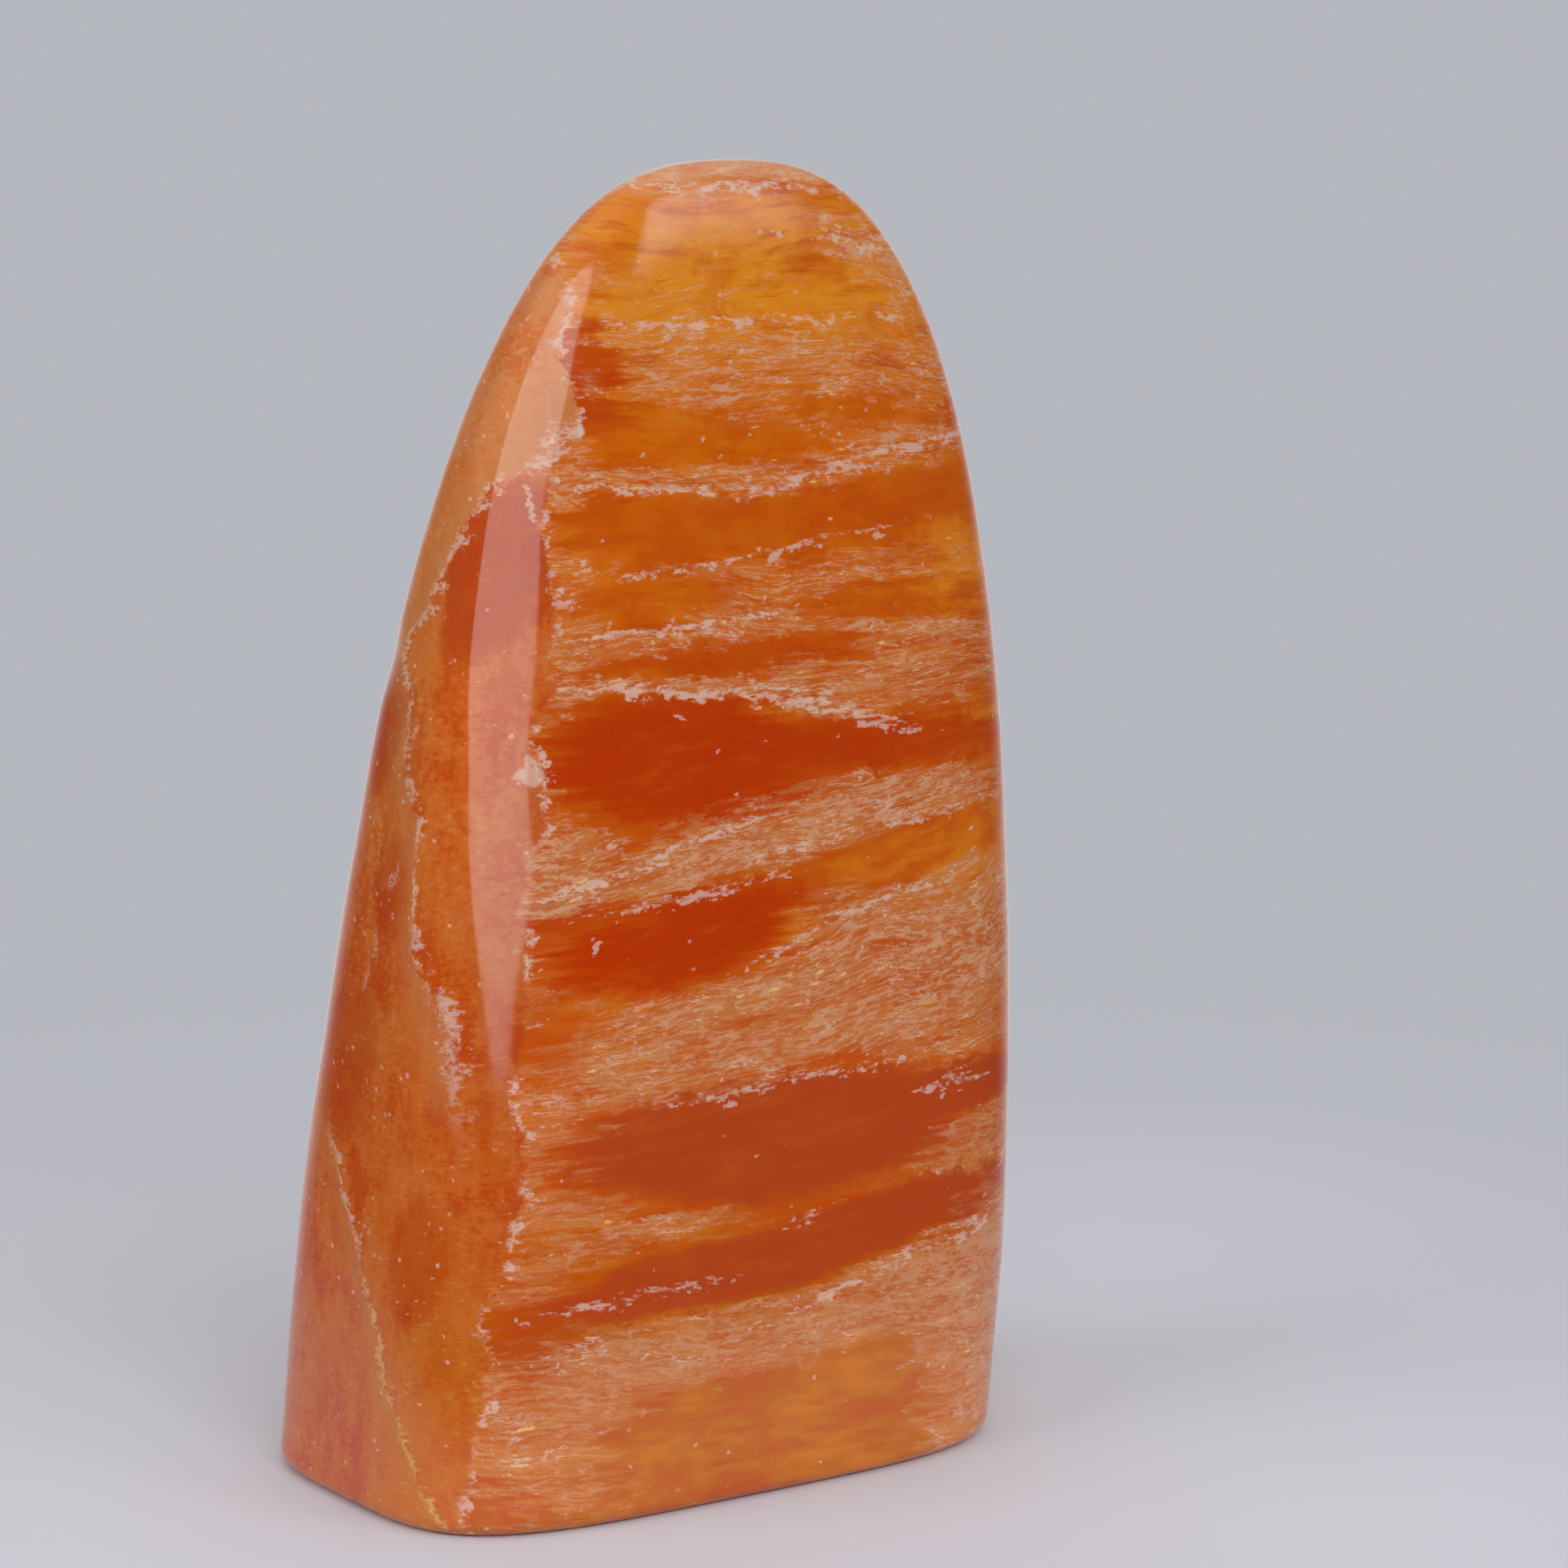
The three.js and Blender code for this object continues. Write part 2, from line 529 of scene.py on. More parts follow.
class Weave(Enum):
    """How closely each noise of the pattern is woven: waves per millimetre along X, Y and Z."""

    SWIRL = (0.045, 0.045, 0.06)
    FINGER = (0.07, 0.07, 1.25)
    CRUMB = (0.5, 0.5, 0.75)
    BAND = (0.022, 0.022, 0.15)
    STREAK = (0.09, 0.09, 0.6)
    GRAIN = (0.32, 0.32, 1.3)
    GRIT = (1.0, 1.0, 2.6)
    BLOTCH = (0.12, 0.12, 0.2)
    WEB = (0.11, 0.11, 0.62)
    RIDGE = (0.17, 0.17, 2.1)
    BLADE = (0.38, 0.38, 1.9)
    FLECK = (0.6, 0.6, 0.8)
    SEAM = (0.1, 0.1, 0.12)
    UPRIGHT_STREAK = (0.42, 0.42, 0.18)
    CLOT = (0.14, 0.14, 0.11)
    WANDER = (0.1, 0.1, 0.1)


@dataclass(frozen=True)
class Ground:
    """Places and noises that the whole pattern shares.

    Places are in millimetres. Crumbs and grit lie about 0, and the other noises about 0.5. The sheet is the
    place on the front face as (across, 1, height), warped by broad swirls, by finger-like shifts along the
    fibres and by crumbled edges. The fibres run at one level, which rises to the right around mid-height.
    """

    kit: NodeKit
    place: Socket
    x: Socket
    y: Socket
    z: Socket
    sheet: Socket
    level: Socket
    fibres: Socket
    crumbs: Socket
    grit: Socket
    grain: Socket
    streaks: Socket
    bands: Socket
    blotches: Socket

    @classmethod
    def over(cls, kit: NodeKit) -> "Ground":
        """Lays the ground over the object's coordinates.

        Args:
            kit: the material's node kit.

        Returns:
            The ground.
        """
        coordinates = kit.out(kit.node("ShaderNodeTexCoord", {}, {}), "Object")
        place = kit.scaled(coordinates, (1 / MM, 1 / MM, 1 / MM))
        x, y, z = kit.parts(place)
        behind = kit.smooth(y, -4.0, 12.0)
        swirl_x, swirl_z, swirl_level = kit.parts(kit.noise_vector(place, Weave.SWIRL))
        fingers = kit.noise(place, Weave.FINGER, 3.0) - 0.5
        crumbs = kit.noise(place, Weave.CRUMB, 5.0, 0.68) - 0.5
        warped_x = x + (swirl_x - 0.5) * (behind * 12.0 + 4.0) + fingers * 15.0 + crumbs * 6.0
        warped_z = z + (swirl_z - 0.5) * (behind * 16.0 + 3.5) + crumbs * 3.4
        rise = kit.smooth(abs(z - 50.0), 30.0, 5.0) * 0.15 - 0.03
        level = z - x * rise + (swirl_level - 0.5) * 5.0
        fibres = kit.vector(x, y, level)
        return cls(
            kit=kit,
            place=place,
            x=x,
            y=y,
            z=z,
            sheet=kit.vector(warped_x, 1.0, warped_z),
            level=level,
            fibres=fibres,
            crumbs=crumbs,
            grit=kit.noise(fibres, Weave.GRIT, 3.0, 0.65) - 0.5,
            grain=kit.noise(fibres, Weave.GRAIN, 6.0, 0.74),
            streaks=kit.noise(fibres, Weave.STREAK, 5.0, 0.68),
            bands=kit.noise(fibres, Weave.BAND, 3.0, 0.55),
            blotches=kit.noise(place, Weave.BLOTCH, 4.0, 0.6),
        )

    def patches(self, patches: tuple[Patch, ...], soft: float, sheet: Socket | None = None) -> Socket:
        """The strongest of several patches at a place.

        Args:
            patches: the ellipses.
            soft: how wide their edges are, as a share of their size.
            sheet: another sheet than the front face's.

        Returns:
            1 inside a patch of full strength, 0 outside them all.
        """
        place = self.sheet if sheet is None else sheet
        return self.kit.largest([patch.field(self.kit, place, soft) for patch in patches])

    def crumbled_line(self, far: Socket, half_width: float, grit: float, crumbs: float) -> Socket:
        """A thin white line of broken stone.

        Args:
            far: distance from the line, in millimetres, with its sign.
            half_width: half the line's width.
            grit: how far the grit moves it.
            crumbs: how far the crumbs widen it.

        Returns:
            1 on the line, 0 beside it.
        """
        return self.kit.smooth(abs(far + self.grit * grit) - self.crumbs * crumbs, half_width, 0.0)


@dataclass(frozen=True)
class Blades:
    """Thin crystal blades along the fibres: how far the middle of each is, and two random values of it."""

    far: Socket
    tone: Socket
    milk: Socket

    @classmethod
    def along(cls, ground: Ground) -> "Blades":
        """Lays the blades along the ground's fibres, with crumbled edges.

        Args:
            ground: the pattern's ground.

        Returns:
            The blades.
        """
        place = ground.kit.vector(ground.x + ground.crumbs * 3.0, ground.y, ground.level + ground.crumbs)
        far, colour = ground.kit.cells(place, Weave.BLADE)
        tone, milk, _ = ground.kit.parts(colour)
        return cls(far, tone, milk)


@dataclass(frozen=True)
class CalciteFinish:
    """Polished orange calcite: clear red-orange windows between milky, feathered cloud bands.

    A second crystal, with an upright grain of its own, shows on the left behind a crumbled seam.
    """

    name: str = "orange_calcite"
    refraction: float = 1.55
    polish_roughness: float = 0.07
    cloud_roughness: float = 0.12
    seam_roughening: float = 0.15
    glow_weight: float = 0.22
    glow_scale_m: float = 0.004
    glow_reach: Colour = (1.0, 0.30, 0.08)

    def build(self) -> bpy.types.Material:
        """Makes the material.

        Returns:
            The material, with its shader linked.
        """
        material = bpy.data.materials.new(self.name)
        material.use_nodes = True
        kit = NodeKit(material.node_tree)
        colour, roughness = self.pattern(Ground.over(kit))
        shader = kit.node(
            "ShaderNodeBsdfPrincipled",
            {},
            {
                "Base Color": colour,
                "Roughness": roughness,
                "IOR": self.refraction,
                "Subsurface Weight": self.glow_weight,
                "Subsurface Scale": self.glow_scale_m,
                "Subsurface Radius": self.glow_reach,
            },
        )
        kit.node("ShaderNodeOutputMaterial", {}, {"Surface": kit.out(shader)})
        return material

    def pattern(self, ground: Ground) -> tuple[Socket, Socket]:
        """The stone's colour and roughness.

        Args:
            ground: the pattern's ground.

        Returns:
            The base colour and the roughness.
        """
        kit = ground.kit
        hot = ground.patches(HOT_WINDOWS, 0.5)
        clay = ground.patches(CLAY_WINDOWS, 0.4)
        window = kit.math("MAXIMUM", hot, clay)
        wander = (kit.noise(ground.place, Weave.SEAM, 3.0) - 0.5) * 9.0 + ground.crumbs * 4.0
        past_seam = ground.z * 0.17 - 31.0 + wander - ground.x
        on_flank = kit.smooth(past_seam, -0.3, 0.3)
        veil = self.veil(ground, window, past_seam)
        frost = kit.smooth(ground.grain + ground.grit * 0.55 + veil * 0.40, 0.64, 0.92)
        blades = Blades.along(ground)

        front = self.clear_stone(ground, hot, clay, window)
        front = self.clouded(ground, front, veil, frost, blades)
        front = self.cracked(ground, front, veil)
        colour = kit.mix(on_flank, front, self.left_crystal(ground))
        seam = ground.crumbled_line(past_seam, 0.55, 3.0, 2.0)
        seam = seam * kit.smooth(ground.blotches + ground.crumbs, 0.44, 0.60)
        colour = kit.mix(seam * 0.6, colour, Tone.WHITE.value)
        colour = self.sprinkled(ground, colour, veil, on_flank, blades)

        clouding = (self.cloud_roughness - self.polish_roughness) * frost
        return colour, self.polish_roughness + clouding + seam * self.seam_roughening

    def veil(self, ground: Ground, window: Socket, past_seam: Socket) -> Socket:
        """How milky the banded stone is: above 0 in a cloud, below 0 where it is clear.

        Args:
            ground: the pattern's ground.
            window: 1 in the clear coloured windows.
            past_seam: distance to the left of the seam, in millimetres.

        Returns:
            The milkiness.
        """
        kit, x, z = ground.kit, ground.x, ground.z
        beside_seam = kit.smooth(past_seam, -6.0, -1.0) * kit.smooth(z, 40.0, 60.0) * 0.5
        right_edge = kit.smooth(x, 8.0, 24.0) * kit.smooth(z, 54.0, 46.0) * 0.4
        unevenness = (ground.bands - 0.5) * 1.2 + (ground.streaks - 0.5) * 1.5
        milky = ground.patches(CLOUDS, 0.5) * 0.95 + unevenness + beside_seam + right_edge
        return milky - window - ground.patches(CLEAR_ZONES, 0.5)

    def clear_stone(self, ground: Ground, hot: Socket, clay: Socket, window: Socket) -> Socket:
        """Colour of the clear stone, from red-orange below to gold at the crown, and of its windows.

        Args:
            ground: the pattern's ground.
            hot: 1 in the red windows.
            clay: 1 in the clay-coloured windows.
            window: 1 in either.

        Returns:
            The colour.
        """
        kit, streaks, blotches = ground.kit, ground.streaks, ground.blotches
        colour = kit.ramp(ground.z / BODY_HEIGHT, BODY_STOPS)
        colour = kit.mix(ground.patches(GOLD_ZONES, 0.7) * 0.85, colour, Tone.GOLD.value)
        colour = kit.mix(kit.smooth(blotches + streaks, 1.02, 1.25) * 0.6, colour, Tone.CROWN.value)
        colour = kit.mix(kit.smooth(blotches, 0.54, 0.38) * 0.5, colour, Tone.DEEP.value)
        colour = kit.mix(kit.smooth(streaks, 0.50, 0.34) * 0.6, colour, Tone.DEEP.value)
        colour = kit.mix(kit.smooth(hot + (streaks - 0.5), 0.2, 0.95) * 0.92, colour, Tone.HOT.value)
        colour = kit.mix(kit.smooth(clay + (streaks - 0.5), 0.15, 0.85) * 0.92, colour, Tone.CLAY.value)
        wisps = kit.smooth(ground.grain + (streaks - 0.5), 0.46, 0.90)
        return kit.mix(window * wisps * 0.40, colour, Tone.FLANK.value)

    def clouded(self, ground: Ground, clear: Socket, veil: Socket, frost: Socket, blades: Blades) -> Socket:
        """Lays the milky clouds over the clear stone: hazy blades, frost, darker gaps and bright edges.

        Args:
            ground: the pattern's ground.
            clear: colour of the clear stone.
            veil: the milkiness.
            frost: fine frosting, 0 to 1.
            blades: the crystal blades.

        Returns:
            The colour.
        """
        kit, z, grain, grit = ground.kit, ground.z, ground.grain, ground.grit
        bladed = kit.smooth(veil + (blades.tone - 0.5) + (grain - 0.5) * 0.8, 0.08, 0.50)
        haze = bladed * (blades.milk * 0.42 + 0.05) + kit.smooth(veil, 0.0, 1.0) * 0.13
        near_foot = kit.smooth(z + (ground.blotches - 0.5) * 12.0, 18.0, 4.0) * 0.6
        golden = kit.smooth(z, 60.0, 95.0) * 0.9 + near_foot
        milk = kit.mix(golden, Tone.MILK.value, Tone.HONEY.value)
        colour = kit.mix(haze + frost * 0.22, clear, milk)
        gaps = kit.smooth(grit + ground.streaks, 0.50, 0.36) * frost * 0.55
        colour = kit.mix(gaps, colour, Tone.DEEP.value)

        ridge = kit.noise(ground.fibres, Weave.RIDGE, 4.0, 0.62) - 0.5
        blade_edge = kit.smooth(blades.far + grit * 0.4, 0.70, 0.82)
        edges = kit.math("MAXIMUM", blade_edge, kit.smooth(abs(ridge), 0.030, 0.005))
        edges = edges * kit.smooth(veil + (grain - 0.5) * 1.5, 0.0, 0.6)
        crust = kit.smooth(grain + grit * 0.55 + veil * 0.24, 0.77, 0.83)
        calm_below = 1.0 - kit.smooth(z, 50.0, 28.0) * 0.45
        colour = kit.mix(kit.math("MAXIMUM", crust, edges) * calm_below * 0.62, colour, Tone.PALE.value)
        cap = kit.smooth(z + (ground.streaks - 0.5) * 5.0, 117.2, 119.2)
        return kit.mix(cap * 0.5, colour, Tone.PALE.value)

    def cracked(self, ground: Ground, whole: Socket, veil: Socket) -> Socket:
        """Adds the thin crumbled crack lines and, in the clouds, a web of finer ones.

        Args:
            ground: the pattern's ground.
            whole: colour of the stone without cracks.
            veil: the milkiness.

        Returns:
            The colour.
        """
        kit, crumbs = ground.kit, ground.crumbs
        lines = ground.patches(CRUMB_LINES, 0.9)
        lines = lines + crumbs * 1.8 + (ground.grain - 0.5) * 1.4 + ground.grit * 1.6
        web = kit.smooth(abs(kit.noise(ground.fibres, Weave.WEB, 4.0, 0.66) - 0.5), 0.020, 0.003)
        web = web * kit.smooth(ground.blotches + crumbs * 1.2, 0.50, 0.68) * kit.smooth(veil, -0.2, 0.4)
        cracks = kit.math("MAXIMUM", web, kit.smooth(lines, 0.70, 1.05))
        return kit.mix(cracks * 0.6, whole, Tone.WHITE.value)

    def sprinkled(
        self, ground: Ground, plain: Socket, veil: Socket, on_flank: Socket, blades: Blades
    ) -> Socket:
        """Adds the flakes on the front face, pale specks all over that are partly painted glints, and
        painted golden glints in the clouds.

        Args:
            ground: the pattern's ground.
            plain: colour of the stone without them.
            veil: the milkiness.
            on_flank: 1 on the left crystal.
            blades: the crystal blades. The milkiest of them carry painted glints.

        Returns:
            The colour.
        """
        kit, crumbs, grit = ground.kit, ground.crumbs, ground.grit
        x, y, z = ground.x, ground.y, ground.z
        flake_sheet = kit.vector(x + crumbs * 3.0, 1.0, z + crumbs * 3.0)
        flakes = ground.patches(FLAKES, 0.15, flake_sheet) * kit.smooth(y, 4.0, 0.0)
        ragged = kit.vector(x + crumbs * 2.0, y + crumbs * 2.0, z + crumbs * 2.0)
        # Pale specks of the stone, partly painted glints of light
        fleck_far, fleck_colour = kit.cells(ragged, Weave.FLECK)
        chosen = kit.smooth(kit.parts(fleck_colour)[0] + on_flank * 0.3, 0.80, 0.9)
        flecks_and_glints = kit.smooth(fleck_far + grit * 0.3, 0.17, 0.09) * chosen
        colour = kit.mix(kit.math("MAXIMUM", flecks_and_glints, flakes) * 0.55, plain, Tone.WHITE.value)
        # Painted glints: golden spots of reflected light on the milkiest blades of the clouds
        painted_glint = kit.smooth(blades.milk, 0.90, 0.94) * kit.smooth(blades.far + grit * 0.7, 0.26, 0.12)
        painted_glint = painted_glint * kit.smooth(veil + (ground.blotches - 0.5) * 2.0, 0.0, 0.4) * (1.0 - on_flank)
        return kit.mix(painted_glint * 0.6, colour, Tone.PAINTED_GLINT.value)

    def left_crystal(self, ground: Ground) -> Socket:
        """Colour of the left crystal: clay red with upright streaks, lighter above its upper vein.

        Args:
            ground: the pattern's ground.

        Returns:
            The colour.
        """
        kit, y, z, crumbs, grit = ground.kit, ground.y, ground.z, ground.crumbs, ground.grit
        streaks = kit.noise(ground.place, Weave.UPRIGHT_STREAK, 5.0, 0.76)
        clots = kit.noise(ground.place, Weave.CLOT, 4.0, 0.65)
        lumps = streaks + grit * 0.6 + (clots - 0.5) * 0.7
        wander = (kit.noise(ground.place, Weave.WANDER, 3.0) - 0.5) * 6.0 + crumbs * 4.0
        side = kit.vector(y + wander * 0.6, 1.0, z + crumbs * 4.0)
        clouds = ground.patches(FLANK_CLOUDS, 0.4, side)
        windows = ground.patches(FLANK_WINDOWS, 0.25, side)
        past_upper = y - kit.math("MINIMUM", z * 0.33 - 24.5, 27.7 - z * 0.35) + wander
        past_lower = y - z * 0.64 + 16.0 + wander
        past_branch = y + z * 0.3 - 15.2 + wander * 0.6

        colour = kit.mix(kit.smooth(lumps, 0.40, 0.56), Tone.EARTH.value, Tone.FLANK.value)
        colour = kit.mix(kit.smooth(clots, 0.44, 0.62) * 0.6, colour, Tone.ORANGE.value)
        light = kit.smooth(past_upper, -0.3, 0.3) * kit.smooth(z, 70.0, 80.0)
        colour = kit.mix(light * 0.6, colour, Tone.AMBER.value)
        colour = kit.mix(light * (kit.smooth(lumps, 0.44, 0.58) * 0.6 + 0.12), colour, Tone.PALE.value)
        veil = light * 0.5 + clouds * 0.9 + (ground.blotches - 0.5) * 1.6 - windows * 0.8
        hazy = kit.smooth(veil + (lumps - 0.5) * 1.8, -0.5, 0.8)
        colour = kit.mix(hazy * 0.6, colour, Tone.HAZE.value)
        colour = kit.mix(windows * 0.7, colour, Tone.CLAY.value)
        frosted = kit.smooth(lumps + grit * 0.6 + veil * 0.3, 0.62, 0.80)
        colour = kit.mix(frosted * 0.4, colour, Tone.HAZE.value)
        bright = kit.smooth(streaks + grit + clouds * 0.12, 0.73, 0.80)
        colour = kit.mix(bright * 0.45, colour, Tone.PALE.value)

        broken = kit.smooth(streaks + crumbs * 0.5, 0.38, 0.54)
        for past, live in (
            (past_upper, kit.smooth(z, 34.0, 42.0)),
            (past_lower, kit.smooth(z, 36.0, 30.0)),
        ):
            halo = kit.smooth(past, -0.2, 0.1) * kit.smooth(past + (lumps - 0.5) * 6.0, 4.0, 0.6)
            colour = kit.mix(halo * live * 0.5, colour, Tone.MILK.value)
            line = ground.crumbled_line(past, 0.6, 3.0, 2.4) * broken
            colour = kit.mix(line * live * 0.6, colour, Tone.WHITE.value)
        colour = self.shaded_low(ground, colour)
        live = kit.smooth(z, 60.0, 57.0) * kit.smooth(z, 45.0, 49.0)
        branch = ground.crumbled_line(past_branch, 0.5, 3.0, 2.0) * kit.smooth(streaks, 0.46, 0.56)
        return kit.mix(branch * live * 0.5, colour, Tone.WHITE.value)

    def shaded_low(self, ground: Ground, colour: Socket) -> Socket:
        """Deepens the left crystal's colour near the foot and along its front corner: painted shade.

        Args:
            ground: the pattern's ground.
            colour: the crystal's colour.

        Returns:
            The deeper colour.
        """
        kit, y, z = ground.kit, ground.y, ground.z
        near_foot = kit.smooth(z, 30.0, 12.0)
        colour = kit.mix(near_foot, colour, kit.scaled(colour, (0.90, 0.82, 0.36)))
        corner = kit.smooth(y, -5.0, -14.0) * kit.smooth(z, 84.0, 60.0) * kit.smooth(z, 0.0, 22.0)
        return kit.mix(corner, colour, kit.scaled(colour, (0.88, 0.84, 0.92)))


@dataclass(frozen=True)
class FreeformStone:
    """The stone itself, in millimetres: its fine surface, with the hand-ground waver and the small chips."""

    form: StoneForm
    columns: int = 420
    wall_rows: int = 214
    edge_rows: int = 7
    foot_rows: int = 8
    waver_height: float = 0.055
    waver_lengths: tuple[float, float] = (8.0, 46.0)
    waver_middle_length: float = 18.0
    waver_growth: float = 1.2
    waver_count: int = 12
    waver_share: float = 1 / 3
    waver_seed: int = 7
    foot_kept: float = 0.5
    foot_blend: float = 4.0
    chips: tuple[Chip, ...] = (
        Chip(-15.6, 97.2, 0.40, 0.10),
        Chip(-24.0, 62.3, 0.35, 0.08),
        Chip(-18.6, 84.4, 0.35, 0.07),
        Chip(8.0, 90.4, 0.60, 0.14),
        Chip(-26.6, 76.0, 4.6, 0.24, 5.0),
    )

    def rows(self) -> tuple[np.ndarray, np.ndarray]:
        """Rows of the grid, from near the middle of the foot to just below the apex.

        Returns:
            The rows' heights, and their reaches from the section's middle (0) to its edge (1). The foot's
            rows step evenly outwards, the rounded edge's follow a quarter circle, and the wall's lie at
            height * sin(angle) for evenly spaced angles, so that they close up towards the apex.
        """
        form = self.form
        foot_reach = np.arange(1, self.foot_rows) / self.foot_rows
        edge_turn = np.linspace(0, np.pi / 2, self.edge_rows)
        edge_z = form.foot_edge_radius * (1 - np.cos(edge_turn))
        start = math.asin(form.foot_edge_radius / form.height)
        wall_z = form.height * np.sin(np.linspace(start, np.pi / 2, self.wall_rows + 1)[1:-1])
        z = np.concatenate([np.zeros(len(foot_reach)), edge_z, wall_z])
        reach = np.concatenate([foot_reach, np.ones(len(edge_z) + len(wall_z))])
        return z, reach

    def waver(self, points: np.ndarray) -> np.ndarray:
        """Slow unevenness left by hand grinding: a sum of plane waves, each higher the longer it is.

        Args:
            points: places on the stone, with X, Y and Z last.

        Returns:
            How far each point moves outwards: waver_share times the sum of the waves. A wave is
            waver_height * (length / waver_middle_length)^waver_growth, times
            sin(2 pi * distance along its heading / length + phase).
        """
        random = np.random.default_rng(self.waver_seed)
        total = np.zeros(points.shape[:-1])
        for length in np.geomspace(*self.waver_lengths, self.waver_count):
            heading = random.normal(size=3)
            heading /= np.linalg.norm(heading)
            phase = random.uniform(0, 2 * np.pi)
            height = self.waver_height * (length / self.waver_middle_length) ** self.waver_growth
            total += height * np.sin(points @ heading * (2 * np.pi / length) + phase)
        return total * self.waver_share

    def build(self) -> bpy.types.Object:
        """Makes the stone's mesh object.

        The form's surface is centred across, and each point moves along its normal by the waver less the
        chips. The foot's face stays flat.

        Returns:
            The object.
        """
        form = self.form
        z, reach = self.rows()
        turn = np.linspace(0, 2 * np.pi, self.columns, endpoint=False)
        grid = form.surface(turn, z, reach)
        middle = np.array([(grid[..., 0].min() + grid[..., 0].max()) / 2, 0, 0])
        grid = grid - middle
        apex = np.array([form.lean_at_top + form.lean_return, 0, form.height]) - middle
        foot = -middle
        around = np.roll(grid, -1, 1) - np.roll(grid, 1, 1)
        up = np.gradient(grid, axis=0)
        normals = np.cross(around, up)
        normals /= np.linalg.norm(normals, axis=-1, keepdims=True) + TINY
        above_foot = np.clip((z - self.foot_kept) / self.foot_blend, 0, 1)[:, None]
        chipped = sum(chip.hollow(grid) for chip in self.chips)
        moved = (self.waver(grid) - chipped) * above_foot
        grid = grid + normals * moved[..., None]
        points = np.concatenate([grid.reshape(-1, 3), foot[None], apex[None]]) * MM
        return self.mesh_object(points, len(z))

    def mesh_object(self, points: np.ndarray, rows: int) -> bpy.types.Object:
        """Joins the grid's points into one closed mesh.

        Args:
            points: the grid's points row by row, then the foot's middle and the apex, in metres.
            rows: how many rows the grid has.

        Returns:
            The object.
        """
        columns = self.columns
        here = np.arange(columns)
        after = np.roll(here, -1)
        base = (np.arange(rows - 1) * columns)[:, None]
        corners = [base + here, base + after, base + columns + after, base + columns + here]
        quads = np.stack(corners, -1).reshape(-1, 4)
        foot, apex = rows * columns, rows * columns + 1
        top = (rows - 1) * columns
        foot_fan = np.stack([after, here, np.full(columns, foot)], -1)
        apex_fan = np.stack([top + here, top + after, np.full(columns, apex)], -1)
        mesh = bpy.data.meshes.new("polished_stone")
        mesh.from_pydata(points, [], quads.tolist() + foot_fan.tolist() + apex_fan.tolist())
        mesh.polygons.foreach_set("use_smooth", np.ones(len(mesh.polygons), bool))
        mesh.update()
        made = bpy.data.objects.new("polished_stone", mesh)
        bpy.context.scene.collection.objects.link(made)
        return made

    def dress(self, piece: bpy.types.Object, finish: CalciteFinish) -> None:
        """Gives the stone its finish and its place in the frame.

        Args:
            piece: the stone's object.
            finish: its finish.
        """
        piece.data.materials.append(finish.build())
        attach(piece, "root")
        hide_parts("stone")


@dataclass(frozen=True)
class SoftBox:
    """One soft oval light panel. Azimuth 0 is in front of the broad face, and the right is positive."""

    name: str
    azimuth_deg: float
    distance_m: float
    middle_height_m: float
    width_m: float
    height_m: float
    radiance: float
    tilt_deg: float = 0.0
    mirrored: bool = True

    def build(self) -> None:
        """Places the panel, facing the stone's axis and tipped down by its tilt.

        Only a mirrored panel shows in the polish. A panel's power is pi times its radiance times its area.
        """
        data = bpy.data.lights.new(self.name, "AREA")
        data.shape = "ELLIPSE"
        data.size = self.width_m
        data.size_y = self.height_m
        area = math.pi / 4 * self.width_m * self.height_m
        data.energy = self.radiance * math.pi * area
        lamp = bpy.data.objects.new(self.name, data)
        turn = math.radians(self.azimuth_deg)
        lamp.location = (
            math.sin(turn) * self.distance_m,
            -math.cos(turn) * self.distance_m,
            self.middle_height_m,
        )
        lamp.rotation_euler = (math.radians(90 - self.tilt_deg), 0.0, turn)
        lamp.visible_camera = False
        lamp.visible_glossy = self.mirrored
        bpy.context.scene.collection.objects.link(lamp)


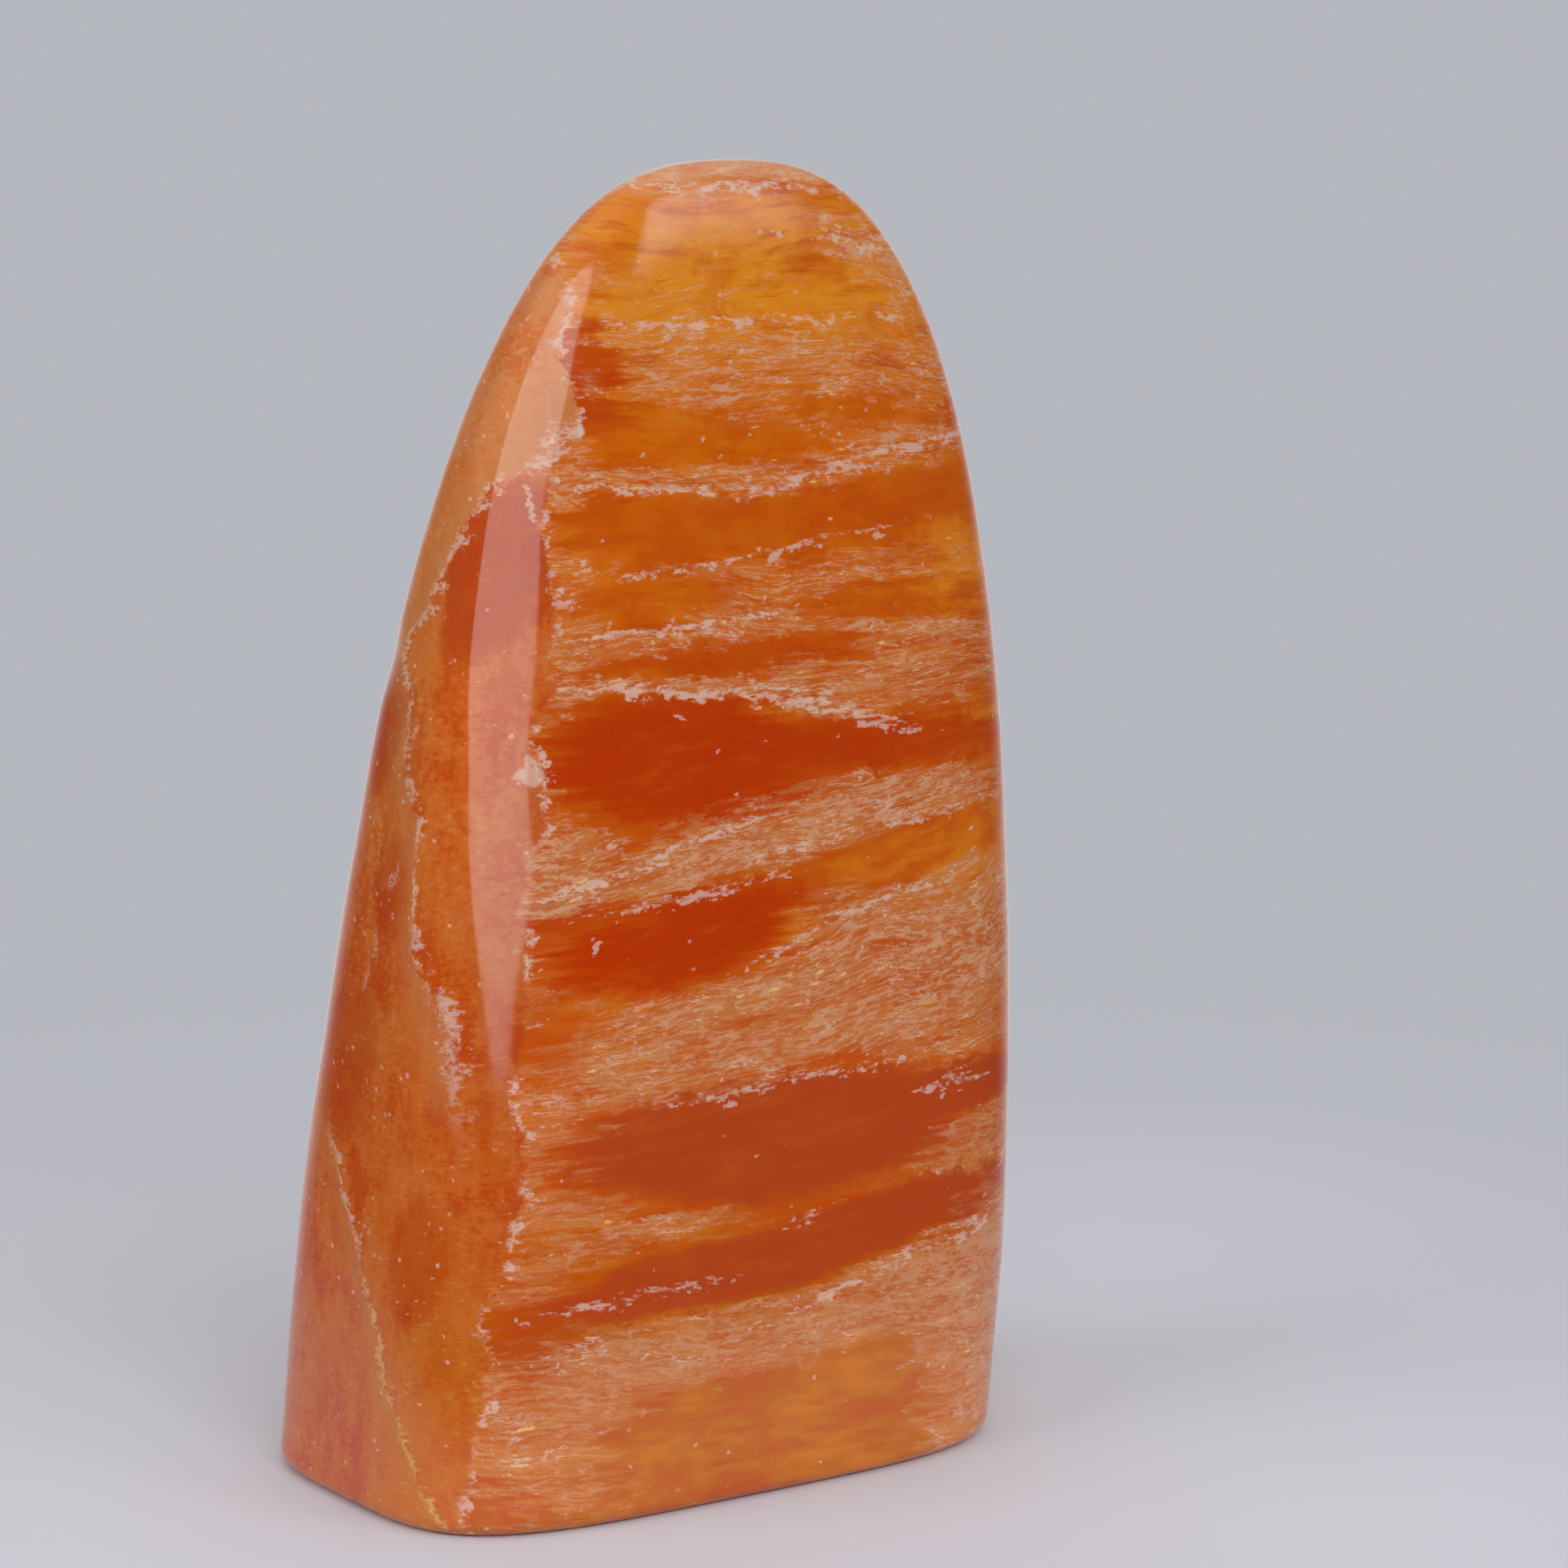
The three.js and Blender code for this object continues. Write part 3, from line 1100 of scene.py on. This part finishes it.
@dataclass(frozen=True)
class Studio:
    """Plain pale floor, soft studio light, and the camera at the photograph's angle."""

    floor_radius_m: float = 1.2
    floor_sides: int = 96
    floor_drop_m: float = 0.00005
    floor_fade_from_m: float = 0.045
    floor_fade_to_m: float = 0.22
    floor_colour: Colour = (0.755, 0.76, 0.82)
    wall_colour: Colour = (0.465, 0.475, 0.515)
    wall_light: float = 0.75
    side_light: float = 0.03
    dimmest_light: float = 0.02
    ceiling_light: float = 0.5
    window_light: float = 2.6
    window_left_deg: tuple[float, float] = (19.0, 23.0)
    window_right_deg: tuple[float, float] = (56.0, 28.0)
    window_bottom: tuple[float, float] = (0.29, 0.44)
    window_top: tuple[float, float] = (0.74, 0.60)
    camera_azimuth_deg: float = -34.45
    camera_elevation_deg: float = 9.0
    camera_distance_m: float = 0.45
    camera_aim_m: tuple[float, float, float] = (0.00826, -0.00789, 0.06293)
    focal_px: float = 6009.0
    sensor_mm: float = 36.0
    boxes: tuple[SoftBox, ...] = (
        SoftBox("strip_box", -24.2, 0.60, 0.385, 0.62, 0.52, 2.45),
        SoftBox("front_fill", 0.0, 1.2, 0.62, 1.2, 0.9, 1.42, 15.0, False),
        SoftBox("left_fill", -95.0, 1.2, 0.55, 1.2, 0.9, 2.45, 15.0, False),
        SoftBox("right_fill", 80.0, 1.2, 0.6, 1.2, 0.9, 0.5, 15.0, False),
        SoftBox("back_fill", 180.0, 1.2, 0.6, 1.2, 0.9, 0.5, 15.0, False),
    )

    def build(self) -> None:
        """Makes the floor, the surroundings, the lights and the camera."""
        self.build_floor()
        self.build_surroundings()
        for box in self.boxes:
            box.build()
        self.build_camera()
        bpy.context.scene.view_settings.view_transform = "Standard"

    def build_floor(self) -> None:
        """A pale round floor that fades into the surroundings."""
        turn = np.linspace(0, 2 * np.pi, self.floor_sides, endpoint=False)
        ring = np.stack([np.cos(turn), np.sin(turn), np.zeros_like(turn)], -1) * self.floor_radius_m
        mesh = bpy.data.meshes.new("floor")
        mesh.from_pydata(ring, [], [list(range(len(ring)))])
        floor = bpy.data.objects.new("floor", mesh)
        floor.location = (0.0, 0.0, -self.floor_drop_m)
        bpy.context.scene.collection.objects.link(floor)
        material = bpy.data.materials.new("floor_cloth")
        material.use_nodes = True
        kit = NodeKit(material.node_tree)
        place = kit.out(kit.node("ShaderNodeTexCoord", {}, {}), "Object")
        far = kit.out(kit.node("ShaderNodeVectorMath", {"operation": "LENGTH"}, {0: place}), "Value")
        fade = kit.smooth(far, self.floor_fade_from_m, self.floor_fade_to_m)
        cloth = kit.node(
            "ShaderNodeBsdfPrincipled",
            {},
            {"Base Color": self.floor_colour, "Roughness": 0.9, "Specular IOR Level": 0.1},
        )
        clear = kit.node("ShaderNodeBsdfTransparent", {}, {})
        blend = kit.node("ShaderNodeMixShader", {}, {0: fade, 1: kit.out(cloth), 2: kit.out(clear)})
        kit.node("ShaderNodeOutputMaterial", {}, {"Surface": kit.out(blend)})
        mesh.materials.append(material)

    def build_surroundings(self) -> None:
        """A pale room, plain grey to the camera.

        In reflections the wall behind the stone and the ceiling are pale, and a soft window high on the
        right lights the crown. Each of the window's edges is a pair of numbers: where it is dark and where
        it is bright, as an angle round the stone or as the upward part of the heading.
        """
        world = bpy.data.worlds.new("studio")
        bpy.context.scene.world = world
        world.use_nodes = True
        kit = NodeKit(world.node_tree)
        heading = kit.out(kit.node("ShaderNodeTexCoord", {}, {}), "Generated")
        across, along, upward = kit.parts(heading)
        turn = math.radians(self.camera_azimuth_deg)
        away = along * math.cos(turn) - across * math.sin(turn)
        beside = kit.smooth(away, -0.75, -0.1) * self.side_light
        wall = kit.smooth(away, 0.5, 0.97) * self.wall_light + beside
        ceiling = kit.smooth(upward, 0.45, 0.95) * self.ceiling_light
        compass = kit.math("ARCTAN2", across, along * -1.0)
        window = kit.smooth(upward, *self.window_bottom) * kit.smooth(upward, *self.window_top)
        for edge_deg in (self.window_left_deg, self.window_right_deg):
            window = window * kit.smooth(compass, *(math.radians(angle) for angle in edge_deg))
        level = kit.math("MAXIMUM", wall, ceiling) + window * self.window_light + self.dimmest_light
        seen = kit.out(kit.node("ShaderNodeLightPath", {}, {}), "Is Camera Ray")
        lit = kit.vector(level, level, level * 1.04)
        colour = kit.mix(seen, lit, self.wall_colour)
        background = kit.node("ShaderNodeBackground", {}, {"Color": colour, "Strength": 1.0})
        kit.node("ShaderNodeOutputWorld", {}, {"Surface": kit.out(background)})

    def build_camera(self) -> None:
        """Places the camera on its line of sight to the aim."""
        data = bpy.data.cameras.new("camera")
        data.sensor_width = self.sensor_mm
        data.lens = self.focal_px * self.sensor_mm / PHOTO_WIDTH_PX
        camera = bpy.data.objects.new("camera", data)
        turn = math.radians(self.camera_azimuth_deg)
        rise = math.radians(self.camera_elevation_deg)
        back = Vector((math.sin(turn) * math.cos(rise), -math.cos(turn) * math.cos(rise), math.sin(rise)))
        camera.location = Vector(self.camera_aim_m) + back * self.camera_distance_m
        camera.rotation_mode = "QUATERNION"
        camera.rotation_quaternion = (-back).to_track_quat("-Z", "Y")
        bpy.context.scene.collection.objects.link(camera)
        bpy.context.scene.camera = camera


def main() -> None:
    """Builds the studio and the stone, in order."""
    logging.basicConfig(level=logging.INFO, format="%(message)s")
    low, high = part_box("stone")
    stone = FreeformStone(StoneForm(height=(high.z - low.z) / MM))
    piece = stone.build()
    stone.dress(piece, CalciteFinish())
    LOG.info("%s: %d faces", piece.name, len(piece.data.polygons))
    studio = Studio()
    studio.build()
    LOG.info("studio: floor, %d soft boxes and camera", len(studio.boxes))


if __name__ == "__main__":
    main()
